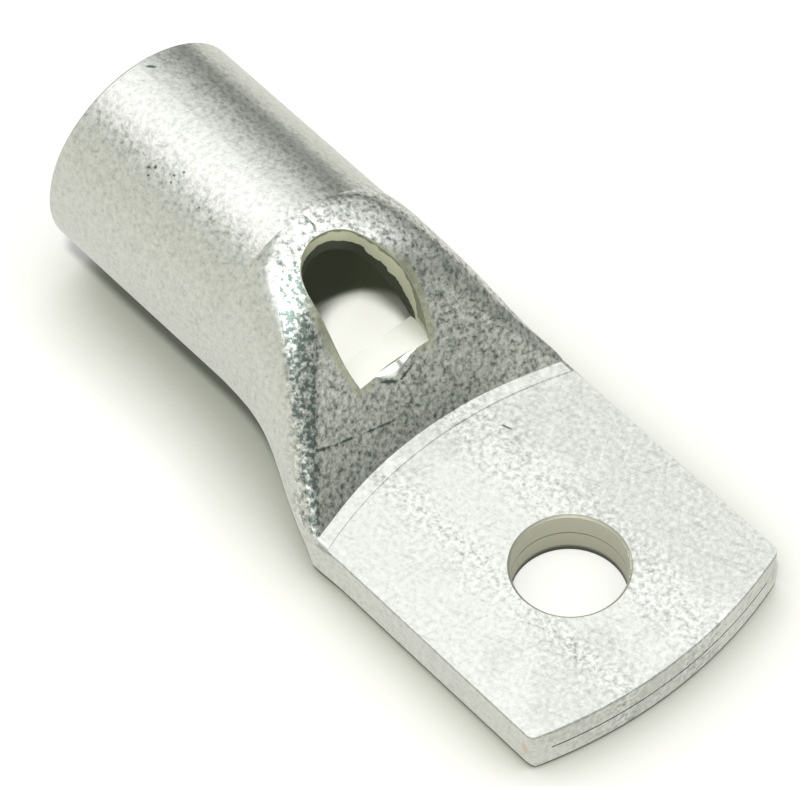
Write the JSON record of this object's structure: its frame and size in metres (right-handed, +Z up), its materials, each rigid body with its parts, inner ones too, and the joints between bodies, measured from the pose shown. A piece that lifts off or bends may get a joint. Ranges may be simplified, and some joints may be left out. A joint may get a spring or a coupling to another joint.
{
  "type": "cable lug",
  "caption": "Tin-plated copper tube lug: round crimp barrel, pressed transition with a sight hole, and a flat palm with a stud hole.",
  "frame": {"origin": "centre of the stud hole, on the palm's underside", "axes": "+X along the lug from the barrel's mouth towards the palm's tip, +Z up out of the stud hole towards the pressed side"},
  "size_m": [0.0711, 0.0304, 0.022],
  "materials": {
    "tinned_copper": "satin tin plating on copper"
  },
  "bodies": {
    "root": {"lug_body": "tinned_copper"}
  },
  "joints": []
}
